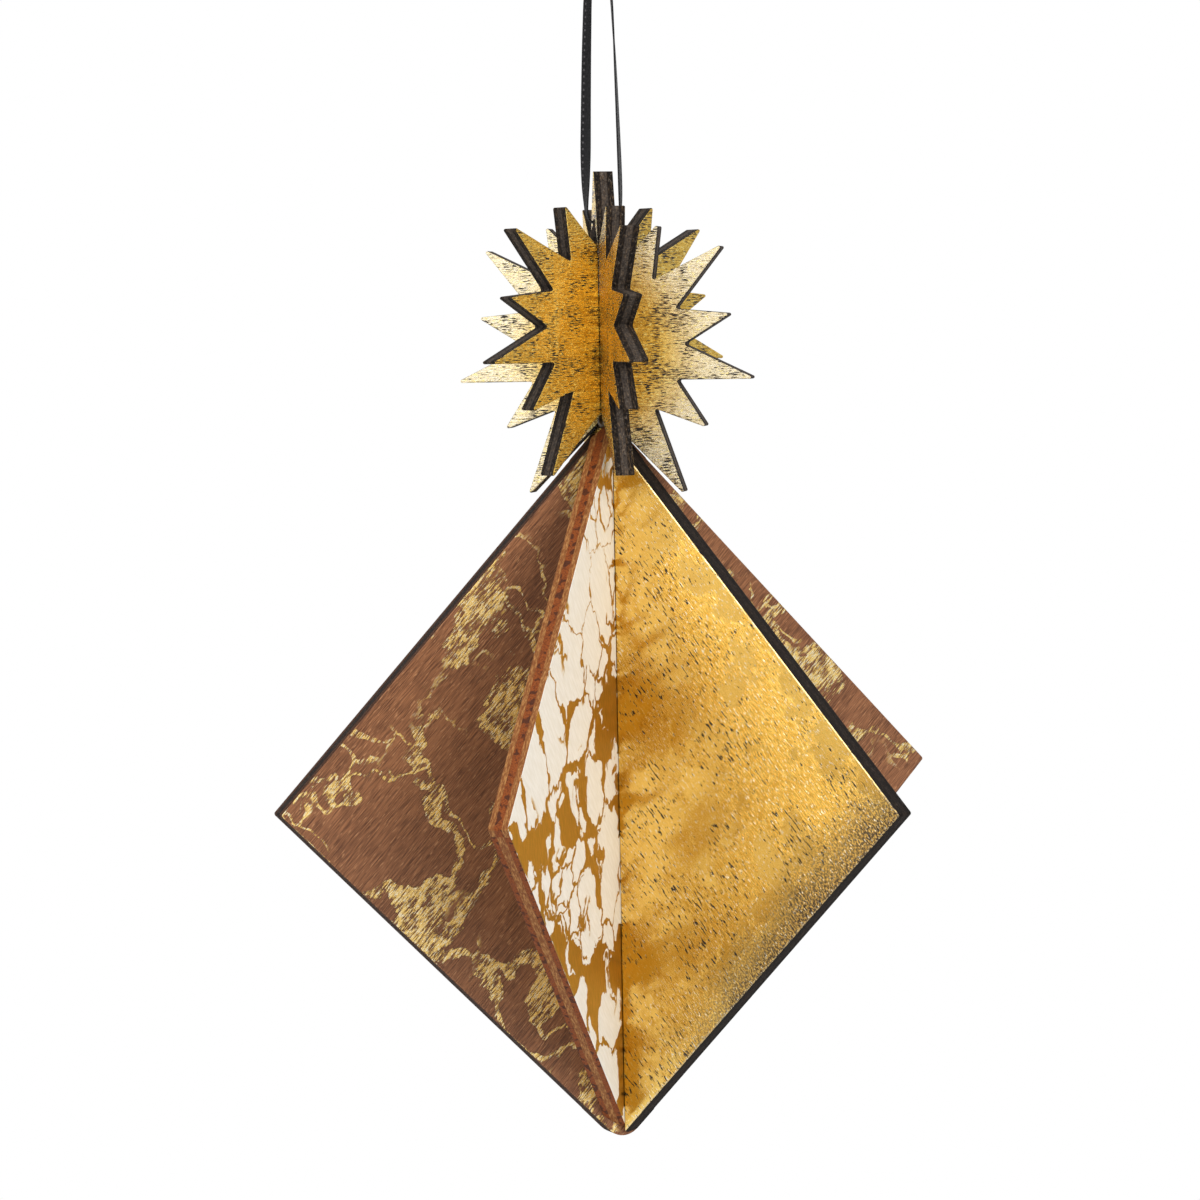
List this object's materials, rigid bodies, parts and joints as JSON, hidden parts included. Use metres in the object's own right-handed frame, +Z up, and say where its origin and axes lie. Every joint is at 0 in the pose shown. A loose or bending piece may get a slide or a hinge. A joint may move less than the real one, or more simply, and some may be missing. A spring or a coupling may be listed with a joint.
{
  "type": "hanging bauble",
  "caption": "Hanging wooden bauble of crossed square plywood panels standing on a corner, with a crossed gold star on top and a narrow ribbon loop",
  "frame": {"origin": "the hang point, where a hook bears under the ribbon's knot", "axes": "+Z up along the axis that every plate crosses on, +X to the right and +Y away from the viewer in the picture"},
  "size_m": [0.101, 0.1088, 0.1956],
  "materials": {
    "walnut": "walnut face with brushed gold veins, dark edges",
    "gold_leaf": "warm gold leaf with dark flecks, black edges",
    "cream": "cream paint with ochre veins, bare ply edges",
    "pale_gold": "pale gold leaf over black, scratched along the grain",
    "star_gold": "gold leaf over black, scratched along the grain",
    "glue": "dried clear glue",
    "ribbon": "black woven satin"
  },
  "bodies": {
    "hanger": {"ribbon_knot": "ribbon"},
    "loop": {"ribbon": "ribbon"},
    "bauble": {"walnut_panel": "walnut", "gold_panel": "gold_leaf", "cream_panel": "cream", "star_plate_low": "pale_gold", "star_plate_mid": "star_gold", "star_plate_top": "star_gold", "glue_bead": "glue"}
  },
  "joints": [
    {"name": "turn", "type": "hinge", "parent": "hanger", "child": "loop", "pos_m": [0, 0, 0], "axis": [0, 0, 1], "range_deg": [-180, 180]},
    {"name": "swing", "type": "hinge", "parent": "loop", "child": "bauble", "pos_m": [0, 0, -0.042], "axis": [0.9781, 0.2079, 0], "range_deg": [-90, 90]}
  ]
}
